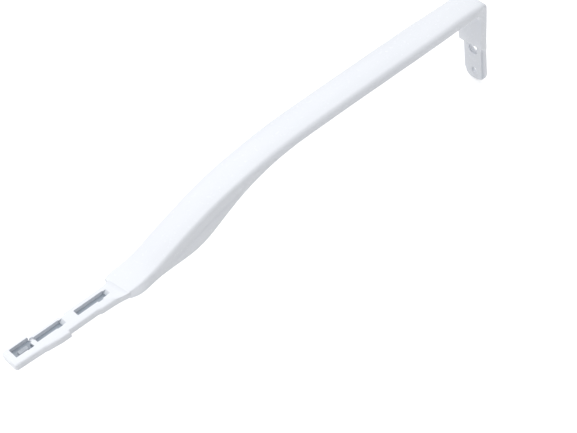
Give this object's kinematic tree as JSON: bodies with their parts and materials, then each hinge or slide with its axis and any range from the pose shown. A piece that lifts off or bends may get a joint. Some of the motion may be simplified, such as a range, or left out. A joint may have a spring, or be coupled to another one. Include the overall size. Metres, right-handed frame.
{
  "type": "refrigerator door handle",
  "caption": "White one-piece refrigerator door handle with an arched grip, a ramped foot, a slotted tail and a two-hole side tab.",
  "frame": {"origin": "middle of the foot's cored base, in the plane of the door's front face, 132 mm from the tail's free end", "axes": "+X from the tail towards the head, +Z out from the door's front face, +Y across the handle to its far side"},
  "size_m": [0.48, 0.035, 0.087],
  "materials": {
    "white_plastic": "gloss"
  },
  "bodies": {
    "root": {"handle": "white_plastic"}
  },
  "joints": []
}
